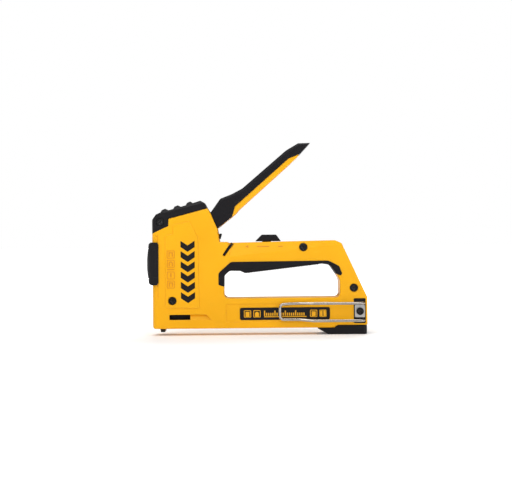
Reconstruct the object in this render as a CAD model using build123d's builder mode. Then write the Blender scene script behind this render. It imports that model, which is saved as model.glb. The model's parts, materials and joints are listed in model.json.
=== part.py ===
from build123d import *
from math import cos, radians, sin
import os

# Hand staple gun. Millimetres. +X runs from the nose to the rear, -Y is the belt hook side,
# +Z is up. The origin is under the middle of the tool's box, on the surface it stands on.

# ---- driving dimensions ----
SIDE = 16.5            # half width of the housing
WALL = 2.4             # housing wall
INNER = SIDE - WALL    # half width of the hollow head and arm
HANDLE_INNER = 10.0    # half width of the hollow handle, under its bevels
FRONT_X = -94.0        # front face of the head
REAR_X = 99.0          # rear face of the arm
ARM_BOTTOM = 6.2       # underside of the housing
ARM_TOP = 33.4         # floor of the hand opening
HEAD_ROUND = 5.0       # rounding of the head's front corners, seen from above
EDGE_ROUND = 1.4       # rounding of the housing's long edges

LEVER_HALF = 13.2      # half width of the lever's black cover
FRAME_HALF = 12.7      # half width of the lever's yellow rails
CORE_HALF = 11.0       # half width of the lever frame inside the cover
CHANNEL_HALF = 9.0     # half width of the channel under the lever
PIVOT = (-46.5, 105.8)  # lever pivot, X and Z
PIN_R = 3.0
RUNNING = 0.05         # radial clearance of a running fit

FORK_REACH = 30.0      # pivot to the lift fork's tips
FORK_REST = 46.3       # angle of the tips below the pivot with the lever open, degrees
LEVER_TRAVEL = 40.0    # degrees the lever closes
FORK_TIP_R = 3.0
LIFT = FORK_REACH * (sin(radians(FORK_REST)) - sin(radians(FORK_REST - LEVER_TRAVEL)))

BLADE_X = -85.6        # middle of the driver blade
BLADE_THICK = 1.0
BLADE_HALF = 5.3
BLADE_TIP_Z = 4.2
PLUNGER_X = -77.0      # axis of the main spring
PLUNGER_HALF = 7.2
PLUNGER_BOTTOM = 50.0
SPRING_FLOOR = 56.0
SPRING_TOP = 103.0
SPRING_R = 5.5

CHANNEL_FLOOR = 8.8    # inside floor of the lower arm
STAPLE_FRONT = -84.7
STAPLE_REAR = 17.0
STAPLE_HALF = 5.4
STAPLE_TOP = 19.2
STAPLE_LEG_Z = 9.4
RAIL_HALF = 4.5
RAIL_BOTTOM = 9.0
RAIL_TOP = 17.9
RAIL_REAR = 88.0
RAIL_SHEET = 0.9
ROD_Z = 13.4           # axis of the pusher's guide rod

WIRE_R = 1.3           # belt hook wire
WIRE_OUT = 22.8        # wire axis from the middle of the tool
WIRE_UPPER_Z = 28.0
WIRE_LOWER_Z = 12.6
WIRE_REAR_X = 95.2
HOOK_SCREW = (92.2, 20.7)

# The hook stands out on one side only, so the middle of the tool lies off the origin by half of it.
PANEL_RAISE = 0.5      # raised panel on the side of the head
KNOB_PROUD = 0.9       # how far the selector knob stands out past the panel
KNOB_HALF = SIDE + PANEL_RAISE + KNOB_PROUD
MID = (WIRE_OUT + WIRE_R - KNOB_HALF) / 2  # middle of the tool, so that its box is centred on Y = 0

TOOL = Plane(origin=(0, MID, 0))
SIDE_VIEW = Plane(origin=(0, MID, 0), x_dir=(1, 0, 0), z_dir=(0, -1, 0))

HOUSING_SCREWS = [(-76.1, 31.4), (41.9, 78.6), (87.0, 41.7)]
CAP_SCREW = (-86.5, 102.3)

os.makedirs("parts", exist_ok=True)


# ---- helpers ----
def outline(corners):
    """Closed side-view outline of (x, z, corner radius) in the current sketch."""
    with BuildLine() as path:
        FilletPolyline(*[(x, z) for x, z, _ in corners], radius=[r for _, _, r in corners], close=True)
    make_face(path.edges())


def slab(corners, low, high, mode=Mode.ADD):
    """Side-view outline as a slab between two distances from the middle, towards -Y."""
    with BuildSketch(SIDE_VIEW.offset(low)) as profile:
        outline(corners)
    extrude(profile.sketch, amount=high - low, mode=mode)


def both_sides(corners, half, mode=Mode.ADD):
    """Side-view outline as a slab that is symmetric about the middle."""
    slab(corners, -half, half, mode)


def block(x, y, z, mode=Mode.ADD):
    """Box between two limits along each axis, measured from the middle of the tool."""
    with Locations(((x[0] + x[1]) / 2, (y[0] + y[1]) / 2, (z[0] + z[1]) / 2)):
        Box(x[1] - x[0], y[1] - y[0], z[1] - z[0], mode=mode)


def rod(at, radius, y, mode=Mode.ADD):
    """Round bar across the tool at a side-view point."""
    with BuildSketch(SIDE_VIEW.offset(-y[1])) as disc:
        with Locations(at):
            Circle(radius)
    extrude(disc.sketch, amount=y[1] - y[0], mode=mode)


def upright(at, radius, z, mode=Mode.ADD):
    """Round bar along Z at a plan-view point."""
    with BuildSketch(TOOL.offset(z[0])) as disc:
        with Locations(at):
            Circle(radius)
    extrude(disc.sketch, amount=z[1] - z[0], mode=mode)


def lengthwise(y_z, radius, x, mode=Mode.ADD):
    """Round bar along X."""
    with BuildSketch(Plane(origin=(x[0], MID, 0), x_dir=(0, 1, 0), z_dir=(1, 0, 0))) as disc:
        with Locations(y_z):
            Circle(radius)
    extrude(disc.sketch, amount=x[1] - x[0], mode=mode)


def head_plan(front, half, rounding, z, mode):
    """Plan view of the head, rounded at its front corners and open-ended to the rear."""
    far = REAR_X + 20
    with BuildSketch(TOOL.offset(z[0])) as plan:
        with BuildLine():
            FilletPolyline(
                (far, -half), (front, -half), (front, half), (far, half),
                radius=[0, rounding, rounding, 0], close=True,
            )
        make_face()
    extrude(plan.sketch, amount=z[1] - z[0], mode=mode)


def save(piece, name):
    piece.part.label = name
    export_step(piece.part, f"parts/{name}.step")


# ---- outlines, side view ----
HOUSING = [
    (FRONT_X, ARM_BOTTOM, 3), (FRONT_X, 91.9, 0), (-79.1, 98.6, 0), (-78.8, 105.4, 0),
    (-44.2, 114.5, 0.5), (-41.2, 109.9, 1), (-35.2, 95.7, 1), (-33.3, 84.0, 0), (-26.5, 84.0, 0),
    (-25.4, 83.1, 0), (70.3, 84.6, 2.5), (76.3, 82.1, 2.5), (REAR_X, 33.5, 3),
    (REAR_X, 8.4, 0.6), (72.1, 8.4, 0), (69.0, ARM_BOTTOM, 0),
]
WINDOW = [
    (-29.6, ARM_TOP, 4), (-29.6, 53.0, 3), (-24.5, 57.9, 4), (-15.0, 57.7, 3), (-10.7, 55.7, 3),
    (58.5, 63.6, 5), (66.0, 62.5, 6), (71.5, 54.2, 3), (74.2, 48.5, 8), (74.4, ARM_TOP, 3.5),
]
GRIP_SEAT = [
    (-25.0, 42.2, 0), (-34.5, 45.5, 0.8), (-34.4, 56.0, 4), (-23.3, 65.9, 5), (64.4, 66.3, 6),
    (74.0, 61.3, 3), (76.5, 54.6, 1.2), (75.1, 52.9, 0.6), (70.5, 54.6, 0), (50, 50, 0), (-20, 48, 0),
]
HOLLOW = [
    (-91.6, CHANNEL_FLOOR, 0), (-91.6, 121, 0), (-30, 121, 0), (-30, 88.5, 0), (-36, 88.5, 0),
    (-37, 80, 0), (-37, 43.5, 0), (-32, 42.5, 0), (-32, 31.0, 2), (76.8, 31.0, 2), (76.8, 50, 0),
    (79.4, 54.6, 0), (79, 66, 0), (81.2, 66, 0), (96.5, 33.0, 2), (96.5, 10.8, 0), (71.3, 10.8, 0),
    (68.5, CHANNEL_FLOOR, 0),
]
HANDLE_HOLLOW = [
    (-38, 69.0, 0), (-38, 81.3, 0), (70, 81.8, 0), (74.2, 79.8, 0), (80.5, 66.2, 0), (77, 64.8, 0),
    (66, 69.2, 0),
]
HEAD_PANEL = [
    (-82.0, 89.7, 1), (-74.8, 91.7, 1), (-74.8, 99.6, 1), (-60.1, 102.8, 2), (-52.7, 88.1, 3),
    (-52.0, 24.9, 1), (-82.2, 25.2, 1),
]
ARM_BAND = [(-28, 11.8, 1), (-28, 28.0, 1), (85.5, 28.0, 1), (85.5, 11.8, 1)]
LABEL_SEAT = [(-15.8, 13.3, 1.6), (-15.8, 24.9, 1.6), (65.5, 24.9, 1.6), (65.5, 13.3, 1.6)]
HOOK_SEAT = [(86.6, 9.9, 1), (86.6, 32.3, 1), (97.4, 32.3, 1), (97.4, 9.9, 1)]
STAPLE_VIEW = [(-78.9, 14.2, 0.8), (-78.9, 18.9, 0.8), (-60.2, 18.9, 0), (-60.2, 14.2, 0)]
CATCH_GROOVE = [(-19.7, 83.7, 0), (-22.1, 85.0, 0), (-31.0, 72.2, 1.0), (-28.8, 70.7, 1.0)]
GROOVE_STRIP = [(-20.9, 82.2, 0), (-22.9, 83.4, 0), (-30.4, 72.6, 0), (-29.0, 71.6, 0)]
BAND_DEPTH = 0.35
LABEL_DEPTH = 0.7
HOOK_DEPTH = 1.2
HOOK_PAD = 0.6          # black pad on the floor of the hook seat
GROOVE_DEPTH = 3.6
GROOVE_FILL = 1.6       # black strip at the bottom of the groove


# ---- housing ----
def handle_bevel():
    """Slanted facets that narrow the handle towards its top, deeper at the front."""
    low_front = (-24.2, 70.8)
    low_rear = (76.0, 80.6)
    run = (low_rear[0] - low_front[0], 0, low_rear[1] - low_front[1])
    start = Plane(origin=(low_front[0], MID, low_front[1]), x_dir=(0, 1, 0), z_dir=run)
    with BuildSketch(start) as wedge:
        with BuildLine():
            Polyline((-SIDE, 0), (-SIDE - 6, 0), (-SIDE - 6, 16), (-SIDE + 5.4, 16), close=True)
        make_face()
    extrude(wedge.sketch, amount=105, mode=Mode.SUBTRACT)


def housing_half(name, hook_hardware):
    """One moulded half shell, built on the -Y side and mirrored for the other."""
    with BuildPart(TOOL) as shell:
        slab(HOUSING, 0, SIDE)
        slab(WINDOW, 0, SIDE, Mode.SUBTRACT)
        outer = shell.faces().sort_by(Axis.Y)[0]
        capped = [e for e in outer.edges() if e.center().Z > 90 or e.center().X < FRONT_X + 0.1]
        long_edges = [e for e in outer.edges() if e not in capped and e.center().Z < 90]
        fillet(long_edges, radius=EDGE_ROUND)
        head_plan(FRONT_X, SIDE, HEAD_ROUND, (0, 130), Mode.INTERSECT)
        slab(GRIP_SEAT, 0, SIDE, Mode.SUBTRACT)
        handle_bevel()
        slab(HEAD_PANEL, SIDE - 0.5, SIDE + PANEL_RAISE)
        slab(HOLLOW, 0, INNER, Mode.SUBTRACT)
        slab(HANDLE_HOLLOW, 0, HANDLE_INNER, Mode.SUBTRACT)
        housing_outside_cuts()
        housing_inside_posts()
        housing_openings()
        housing_screw_holes(hook_hardware)
        if not hook_hardware:
            mirror(about=SIDE_VIEW, mode=Mode.REPLACE)
            housing_far_side_bosses()
    save(shell, name)


def housing_outside_cuts():
    """Shallow steps, label seat, hook seat, staple window and catch groove on the side face."""
    slab(ARM_BAND, SIDE - BAND_DEPTH, SIDE + 1, Mode.SUBTRACT)
    slab(LABEL_SEAT, SIDE - LABEL_DEPTH, SIDE + 1, Mode.SUBTRACT)
    slab(HOOK_SEAT, SIDE - HOOK_DEPTH, SIDE + 1, Mode.SUBTRACT)
    slab(CATCH_GROOVE, SIDE - GROOVE_DEPTH, SIDE + 1, Mode.SUBTRACT)
    slab(STAPLE_VIEW, INNER - 1, SIDE + 1, Mode.SUBTRACT)
    view_ramp()
    block((-91.5, -88.5), (-SIDE - 1, -SIDE + 0.8), (34.5, 90.0), Mode.SUBTRACT)
    block((-91.5, -88.5), (-SIDE - 1, -INNER + 1), (51.5, 74.5), Mode.SUBTRACT)


def view_ramp():
    """Leaning floor behind the staple window, with a slanted rear end."""
    rear_low, rear_high = (-41.5, 14.2), (-45.8, 18.9)
    run, rise = rear_high[0] - rear_low[0], rear_high[1] - rear_low[1]
    end = Plane(origin=(rear_low[0], MID, rear_low[1]), x_dir=(0, 1, 0), z_dir=(rise, 0, -run))
    height = (run ** 2 + rise ** 2) ** 0.5
    with BuildSketch(end) as profile:
        with BuildLine():
            Polyline(
                (-SIDE - 1, 0), (-SIDE + 0.5, 0), (-SIDE + 2.2, height), (-SIDE - 1, height),
                close=True,
            )
        make_face()
    extrude(profile.sketch, amount=19, dir=(-1, 0, 0), mode=Mode.SUBTRACT)


def housing_inside_posts():
    """Bosses, ribs and blocks inside the shell."""
    boss_r = 5.4
    for at in HOUSING_SCREWS:
        top = 4.6 if at[1] > 70 else boss_r
        rod(at, top, (-SIDE + 2, 0))
    rod(PIVOT, 6.5, (-INNER - 0.5, -LEVER_HALF - 0.25))
    block((87.0, 96.8), (-INNER - 0.5, -8.6), (9.4, 32.4))
    block((-79.0, -77.0), (-INNER - 0.5, -9.1), (44, 74))
    block((-88.2, -83.2), (-INNER - 0.5, -9.4), (84.0, 89.5))
    block((-88.2, -83.2), (-11.9, -9.4), (89.0, 105.6))
    block((-60.0, -58.0), (-INNER - 0.5, -6.8), (20.5, 31.5))
    for x in (-20, 12, 44):
        block((x - 1, x + 1), (-INNER - 0.5, -6.8), (CHANNEL_FLOOR - 0.5, 31.5))


def housing_openings():
    """Ways through the bottom and rear walls for the nose and the magazine."""
    block((-88.2, -82.3), (-8.35, 1), (5, 9), Mode.SUBTRACT)
    block((67.5, 101), (-6.6, 1), (5, 11.2), Mode.SUBTRACT)
    block((94, 101), (-7.4, 1), (8, 24.2), Mode.SUBTRACT)
    block((-3.4, 14.4), (-3.2, 1), (80, 86), Mode.SUBTRACT)
    block((-36.1, -32), (-4.05, 1), (86.5, 89), Mode.SUBTRACT)


def housing_screw_holes(hook_hardware):
    """Screw recesses on the hook side, blind pin hole, cap tab hole, hook wire and insert holes."""
    if hook_hardware:
        for at in HOUSING_SCREWS:
            rod(at, 3.9, (-SIDE - 1, -12.6), Mode.SUBTRACT)
            rod(at, 1.9, (-13, 1), Mode.SUBTRACT)
    rod(PIVOT, PIN_R, (-SIDE + 0.8, -LEVER_HALF), Mode.SUBTRACT)
    rod(CAP_SCREW, 1.4, (-12.5, -9), Mode.SUBTRACT)
    rod(HOOK_SCREW, 2.6, (-SIDE - 1, -9.6), Mode.SUBTRACT)
    for z in (WIRE_UPPER_Z, WIRE_LOWER_Z):
        rod((WIRE_REAR_X, z), WIRE_R + 0.05, (-SIDE - 1, -12.4), Mode.SUBTRACT)


def housing_far_side_bosses():
    """Blind pilot holes that take the housing screws in the plain half."""
    for at in HOUSING_SCREWS:
        rod(at, 1.6, (-1, 11), Mode.SUBTRACT)


housing_half("housing_left", True)
housing_half("housing_right", False)


# ---- top cap ----
CAP = [
    (FRONT_X, 91.9, 0), (FRONT_X, 104.2, 2), (-90.0, 109.3, 1.5), (-86.2, 110.9, 0.3),
    (-84.9, 113.2, 1.2), (-82.0, 114.4, 1.2), (-79.4, 112.8, 0.3), (-74.7, 114.0, 0.3),
    (-73.5, 116.2, 1.2), (-70.6, 117.4, 1.2), (-68.0, 115.9, 0.3), (-63.5, 117.2, 0.3),
    (-62.2, 119.5, 1.2), (-59.4, 120.7, 1.2), (-56.9, 119.2, 0.3), (-50.3, 121.3, 1.5),
    (-46.8, 119.4, 1.5), (-44.2, 114.5, 0), (-78.8, 105.4, 0), (-79.1, 98.6, 0),
]
CAP_HOLLOW = [
    (-91.6, 88, 0), (-91.6, 103.3, 0), (-87.9, 108.1, 0), (-51.2, 118.0, 0), (-48.5, 116.0, 0),
    (-47.2, 113.4, 0), (-47.2, 88, 0),
]


def top_cap():
    run = (39.3, 0, 9.3)
    with BuildPart(TOOL) as cap:
        both_sides(CAP, SIDE)
        head_plan(FRONT_X, SIDE, HEAD_ROUND, (80, 130), Mode.INTERSECT)
        for side in (-1, 1):
            edge = Plane(origin=(-98, MID, 107.2), x_dir=(0, side, 0), z_dir=(run[0], 0, run[2]))
            rise = side * 9
            with BuildSketch(edge):
                with BuildLine():
                    Polyline((SIDE, 0), (SIDE + 5, 0), (SIDE + 5, rise), (SIDE - 8.5, rise), close=True)
                make_face()
            extrude(amount=70, mode=Mode.SUBTRACT)
        both_sides(CAP_HOLLOW, INNER, Mode.SUBTRACT)
        upright((PLUNGER_X, 0), 5.2, (SPRING_TOP + 1.5, 112.0))
        for y in ((-SIDE, -12.0), (12.0, SIDE)):
            rod(CAP_SCREW, 4.7, y)
        for y in ((-SIDE - 1, -14.2), (14.2, SIDE + 1)):
            rod(CAP_SCREW, 3.8, y, Mode.SUBTRACT)
        rod(CAP_SCREW, 1.9, (-SIDE, SIDE), Mode.SUBTRACT)
    save(cap, "top_cap")


def screw(at, head_y, tip_y, head_r, shank_r, head_h):
    """Pan-head screw along Y with a cross recess; head_y is under the head, tip_y its end."""
    out = 1 if head_y > tip_y else -1
    face = head_y + out * head_h
    rod(at, head_r, sorted((head_y, face)))
    rod(at, shank_r, sorted((head_y, tip_y)))
    for w, h in ((head_r, 0.8), (0.8, head_r)):
        low, high = sorted((face, face - out * 1.0))
        across = (at[0] - w / 1.7, at[0] + w / 1.7)
        along = (at[1] - h / 1.7, at[1] + h / 1.7)
        block(across, (low, high), along, Mode.SUBTRACT)


def screws():
    with BuildPart(TOOL) as cap_screws:
        screw(CAP_SCREW, -14.2, -9.6, 3.3, 1.4, 1.6)
        screw(CAP_SCREW, 14.2, 9.6, 3.3, 1.4, 1.6)
    save(cap_screws, "cap_screws")
    with BuildPart(TOOL) as housing_screws:
        for at in HOUSING_SCREWS:
            screw(at, -12.6, 10.0, 3.4, 1.6, 2.2)
    save(housing_screws, "housing_screws")


def grip_insert():
    """Rubber lining around the top of the hand opening, slightly proud of the housing."""
    proud = 0.4
    with BuildPart(TOOL) as grip:
        both_sides(GRIP_SEAT, SIDE + proud)
        both_sides(WINDOW, SIDE + 2, Mode.SUBTRACT)
        for face in (grip.faces().sort_by(Axis.Y)[0], grip.faces().sort_by(Axis.Y)[-1]):
            rim = [e for e in face.edges() if e.length > 15 and e.center().Z < 63.5]
            fillet(rim, radius=1.6)
    save(grip, "grip_insert")


top_cap()
screws()
grip_insert()


# ---- steel inside the head ----
def core_frame():
    """Bent steel channel that guides the plunger, with a shelf for the bumper."""
    with BuildPart(TOOL) as core:
        block((-88.3, -86.9), (-9.0, 9.0), (30.2, 78))
        for y in ((-9.0, -7.5), (7.5, 9.0)):
            block((-88.3, -67.0), y, (38, 78))
        block((-84.6, -67.0), (-7.5, 7.5), (42.4, 43.9))
    save(core, "core_frame")


def nose_guide():
    """Nose block with the slot the driver and one staple pass through."""
    tip = 2.9
    profile = [
        (-88.0, 30.0, 0), (-88.0, 7.0, 0.6), (-87.1, tip, 0.2), (-83.6, tip, 0.2), (-82.6, 7.0, 0.6),
        (-82.6, 30.0, 0),
    ]
    slot = 0.7
    with BuildPart(TOOL) as nose:
        both_sides(profile, 8.2)
        block((BLADE_X - slot, BLADE_X + slot), (-5.6, 5.6), (0, 31), Mode.SUBTRACT)
        block((BLADE_X, -82), (-5.6, 5.6), (8.8, 19.7), Mode.SUBTRACT)
    save(nose, "nose_guide")


def pivot_pin():
    with BuildPart(TOOL) as pin:
        rod(PIVOT, PIN_R, (-SIDE + 0.8, SIDE - 0.8))
        chamfer(pin.edges().filter_by(GeomType.CIRCLE), length=0.4)
    save(pin, "pivot_pin")


def bumper():
    with BuildPart(TOOL) as pad:
        block((-84.4, -69.6), (-7.0, 7.0), (43.9, PLUNGER_BOTTOM - 0.1))
        fillet(pad.edges().filter_by(Axis.Z), radius=1.5)
    save(pad, "plunger_bumper")


def spring_parts():
    with BuildPart(TOOL) as seat:
        upright((PLUNGER_X, 0), 5.3, (SPRING_TOP, SPRING_TOP + 1.5))
        upright((PLUNGER_X, 0), 3.4, (SPRING_TOP - 6, SPRING_TOP))
    save(seat, "spring_seat")
    with BuildPart(TOOL) as spring:
        upright((PLUNGER_X, 0), SPRING_R, (SPRING_FLOOR, SPRING_TOP))
        upright((PLUNGER_X, 0), SPRING_R - 1.7, (SPRING_FLOOR, SPRING_TOP), Mode.SUBTRACT)
    save(spring, "main_spring")


def lever_stop():
    """Catch fin standing at the back of the head under the lever."""
    fin = [
        (-36.0, 86.6, 0), (-36.0, 88.5, 0), (-34.0, 88.5, 0), (-34.0, 91.4, 0.6), (-31.3, 91.6, 0.6),
        (-32.6, 86.6, 0.4),
    ]
    with BuildPart(TOOL) as stop:
        slab(fin, -4, 4)
    save(stop, "lever_stop")


def groove_strips():
    """Black strips at the bottom of the two side grooves behind the head."""
    with BuildPart(TOOL) as strips:
        for low in (SIDE - GROOVE_DEPTH, -SIDE + GROOVE_DEPTH - GROOVE_FILL):
            slab(GROOVE_STRIP, low, low + GROOVE_FILL)
    save(strips, "groove_strips")


core_frame()
nose_guide()
pivot_pin()
bumper()
spring_parts()
lever_stop()
groove_strips()


# ---- plunger ----
EAR_BOTTOM = PIVOT[1] - FORK_REACH * sin(radians(FORK_REST)) + FORK_TIP_R + 0.1
EAR_TOP = EAR_BOTTOM + 2.8


def plunger():
    """Block with the spring bore and two ears that the lift fork carries."""
    with BuildPart(TOOL) as body:
        block((-84.8, -69.4), (-PLUNGER_HALF, PLUNGER_HALF), (PLUNGER_BOTTOM, EAR_TOP))
        block((-80.0, -63.6), (-10.4, 10.4), (EAR_BOTTOM, EAR_TOP))
        upright((PLUNGER_X, 0), SPRING_R + 0.3, (SPRING_FLOOR, EAR_TOP + 5), Mode.SUBTRACT)
        block((BLADE_X, -84.3), (-BLADE_HALF - 0.05, BLADE_HALF + 0.05), (58, 82), Mode.SUBTRACT)
    save(body, "plunger_block")
    half = BLADE_THICK / 2
    with BuildPart(TOOL) as blade:
        block((BLADE_X - half, BLADE_X + half), (-BLADE_HALF, BLADE_HALF), (BLADE_TIP_Z, 80))
        block((BLADE_X, -84.3), (-BLADE_HALF, BLADE_HALF), (60, 80))
    save(blade, "driver_blade")


plunger()


# ---- power selector ----
KNOB = [
    (-95.4, 84.0, 1.0), (-97.0, 82.6, 2), (-99.0, 68.0, 12), (-99.0, 61.0, 12), (-97.1, 47.0, 2),
    (-95.0, 45.6, 1.0), (-89.6, 45.6, 1), (-88.4, 47.6, 1), (-88.1, 82.0, 1), (-89.4, 84.0, 1),
]
KNOB_GAP = 0.3


def selector():
    """Thumb piece that wraps the head's front, and the cross bar that ties it through the slots."""
    bar = ((-91.2, -88.8), (62.0, 68.0))
    reach = KNOB_HALF - 0.6
    with BuildPart(TOOL) as knob:
        both_sides(KNOB, KNOB_HALF + 1)
        head_plan(REAR_X * -1, KNOB_HALF, 8.0, (30, 100), Mode.INTERSECT)
        head_plan(FRONT_X - KNOB_GAP, SIDE + KNOB_GAP, HEAD_ROUND + KNOB_GAP, (30, 100), Mode.SUBTRACT)
        for z in (51.5, 78.6):
            block((-100, -97.25), (-20, 20), (z - 0.5, z + 0.5), Mode.SUBTRACT)
        for y in ((-KNOB_HALF - 1, -KNOB_HALF + 0.4), (KNOB_HALF - 0.4, KNOB_HALF + 1)):
            block((-100, -87), y, (52.6, 77.4), Mode.SUBTRACT)
        block(bar[0], (-reach, reach), bar[1], Mode.SUBTRACT)
    save(knob, "selector_knob")
    with BuildPart(TOOL) as carriage:
        block(bar[0], (-reach, reach), bar[1])
        block((-91.2, -90.2), (-9.0, 9.0), (56.0, 74.0))
    save(carriage, "selector_carriage")


selector()


# ---- lever ----
GRIP_PROFILE = [
    (-46.5, 99.2, 0), (-46.5, 112.4, 0), (-41.0, 111.0, 0), (-32.4, 123.0, 4), (-21.8, 127.1, 14),
    (-12.5, 132.0, 14), (27.2, 165.9, 16), (38.3, 172.4, 2), (49.0, 172.6, 0), (39.6, 162.4, 1),
    (29.6, 158.6, 5), (-19.2, 115.8, 3), (-22.0, 106.4, 0.6), (-35.1, 96.1, 3),
]
CORE_PROFILE = [
    (-46.5, 99.6, 0), (-46.5, 112.0, 0), (-40.8, 109.6, 0), (-32.0, 120.2, 2), (-12.5, 129.2, 10),
    (36.0, 168.0, 1), (37.6, 163.6, 0), (36.2, 158.7, 0), (-15.4, 112.9, 4), (-18.1, 109.6, 2),
    (-34.9, 96.5, 2),
]
RAIL_PROFILE = [
    (-24.6, 104.2, 0), (-18.1, 109.6, 2), (-15.4, 112.9, 4), (36.4, 158.9, 0), (38.6, 161.2, 0),
    (38.6, 162.02, 0), (29.6, 158.6, 5), (-19.2, 115.8, 3), (-22.0, 106.4, 0),
]
LEVER_CHANNEL = [
    (-60, 80, 0), (-60, 125, 0), (-40.2, 125, 0), (-40.2, 109.9, 0), (-38.6, 109.9, 0),
    (-30.8, 118.8, 2), (-11.6, 127.3, 10), (31.0, 161.2, 1), (31.8, 154.0, 0), (60, 120, 0), (0, 80, 0),
]
FORK_PIN = (-27.5, 106.2)


def lever_frame():
    with BuildPart(TOOL) as frame:
        both_sides(CORE_PROFILE, CORE_HALF)
        rod(PIVOT, 6.6, (-CORE_HALF, CORE_HALF))
        both_sides(RAIL_PROFILE, FRAME_HALF)
        both_sides(LEVER_CHANNEL, CHANNEL_HALF, Mode.SUBTRACT)
        rod(PIVOT, 4.5, (-CORE_HALF, CORE_HALF), Mode.SUBTRACT)
        rod(FORK_PIN, 2.0, (-CORE_HALF, CORE_HALF), Mode.SUBTRACT)
    save(frame, "lever_frame")


def lever_grip():
    with BuildPart(TOOL) as grip:
        both_sides(GRIP_PROFILE, LEVER_HALF)
        heel, toe = (-41.0, 111.0), (49.0, 172.6)
        slope = (toe[1] - heel[1]) / (toe[0] - heel[0])
        for face in (grip.faces().sort_by(Axis.Y)[0], grip.faces().sort_by(Axis.Y)[-1]):
            top = [e for e in face.edges() if e.center().Z > heel[1] + (e.center().X - heel[0]) * slope + 1]
            fillet(top, radius=2.6)
        rod(PIVOT, 7.2, (-LEVER_HALF, LEVER_HALF))
        both_sides(CORE_PROFILE, CORE_HALF, Mode.SUBTRACT)
        rod(PIVOT, 7.3, (-CORE_HALF, CORE_HALF), Mode.SUBTRACT)
        both_sides(LEVER_CHANNEL, CORE_HALF, Mode.SUBTRACT)
        rod(PIVOT, 4.5, (-SIDE, SIDE), Mode.SUBTRACT)
    save(grip, "lever_grip")


def lift_fork():
    """Steel fork on the pivot: two tails inside the lever, two fingers under the plunger's ears."""
    angle = radians(FORK_REST)
    tip = (PIVOT[0] - FORK_REACH * cos(angle), PIVOT[1] - FORK_REACH * sin(angle))
    elbow = (-57.0, tip[1] + FORK_TIP_R - 3.4)
    with BuildPart(TOOL) as fork:
        for low in (-8.9, 7.5):
            for a, ra, b, rb in (
                (PIVOT, 6.4, elbow, 3.4),
                (elbow, 3.4, tip, FORK_TIP_R),
                (PIVOT, 3.6, FORK_PIN, 3.0),
            ):
                with BuildSketch(SIDE_VIEW.offset(low)):
                    with Locations(a):
                        Circle(ra)
                    with Locations(b):
                        Circle(rb)
                    make_hull()
                extrude(amount=1.4)
        rod(PIVOT, 5.2, (-8.0, 8.0))
        rod(PIVOT, PIN_R + 2 * RUNNING, (-9, 9), Mode.SUBTRACT)
        rod(FORK_PIN, 2.0, (-9, 9), Mode.SUBTRACT)
    save(fork, "lift_fork")


def lever_small_parts():
    with BuildPart(TOOL) as pin:
        rod(FORK_PIN, 2.0, (-CORE_HALF, CORE_HALF))
    save(pin, "fork_pin")
    with BuildPart(TOOL) as bushings:
        for y in ((-LEVER_HALF, -CHANNEL_HALF), (CHANNEL_HALF, LEVER_HALF)):
            rod(PIVOT, 4.5, y)
            rod(PIVOT, PIN_R + RUNNING, y, Mode.SUBTRACT)
    save(bushings, "lever_bushings")


lever_frame()
lever_grip()
lift_fork()
lever_small_parts()


# ---- magazine ----
def staple_channel():
    """Fixed sheet-metal channel, open below, that the staples hang in."""
    with BuildPart(TOOL) as channel:
        block((-82.5, 62), (-6.6, 6.6), (CHANNEL_FLOOR, 20.4))
        block((-83, 63), (-5.7, 5.7), (0, 19.5), Mode.SUBTRACT)
    save(channel, "staple_channel")


def staple_strip():
    leg = 0.6
    with BuildPart(TOOL) as strip:
        block((STAPLE_FRONT, STAPLE_REAR), (-STAPLE_HALF, STAPLE_HALF), (STAPLE_LEG_Z, STAPLE_TOP))
        inside = STAPLE_HALF - leg
        block((STAPLE_FRONT - 1, STAPLE_REAR + 1), (-inside, inside), (0, STAPLE_TOP - leg), Mode.SUBTRACT)
    save(strip, "staple_strip")


def magazine_rail():
    with BuildPart(TOOL) as rail:
        block((STAPLE_FRONT, RAIL_REAR), (-RAIL_HALF, RAIL_HALF), (RAIL_BOTTOM, RAIL_TOP))
        hollow = RAIL_HALF - RAIL_SHEET
        block(
            (STAPLE_FRONT - 1, RAIL_REAR + 1), (-hollow, hollow),
            (RAIL_BOTTOM + RAIL_SHEET, RAIL_TOP - RAIL_SHEET), Mode.SUBTRACT,
        )
        block((-60, 84), (-1.3, 1.3), (RAIL_TOP - 2, RAIL_TOP + 1), Mode.SUBTRACT)
    save(rail, "magazine_rail")


def magazine_foot():
    """Black rear foot under the arm with the riser that carries the rail."""
    side = [
        (53.4, 5.9, 0.4), (63.9, 0, 1.5), (98.8, 0, 1.5), (98.8, 8.1, 0.6), (72.4, 8.1, 0),
        (69.1, 5.9, 0),
    ]
    with BuildPart(TOOL) as foot:
        both_sides(side, 14.8)
        with BuildSketch(TOOL):
            with Locations((76.1, 0)):
                RectangleRounded(45.4, 29.6, 3.0)
        extrude(amount=9, mode=Mode.INTERSECT)
        block((72.6, 98.4), (-6.2, 6.2), (8.0, RAIL_BOTTOM))
        block((RAIL_REAR, 98.4), (-6.2, 6.2), (8.5, 17.0))
        lengthwise((0, ROD_Z), 1.1, (RAIL_REAR - 1, 94), Mode.SUBTRACT)
    save(foot, "magazine_foot")


def magazine_latch():
    tab = [
        (88.1, 17.0, 0), (88.1, 19.0, 0.5), (91.5, 20.0, 0.5), (92.4, 23.6, 0.5), (94.4, 23.6, 0.5),
        (95.2, 20.6, 0.5), (98.9, 20.6, 0.8), (98.9, 17.0, 0),
    ]
    with BuildPart(TOOL) as latch:
        both_sides(tab, 6.0)
    save(latch, "magazine_latch")


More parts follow.
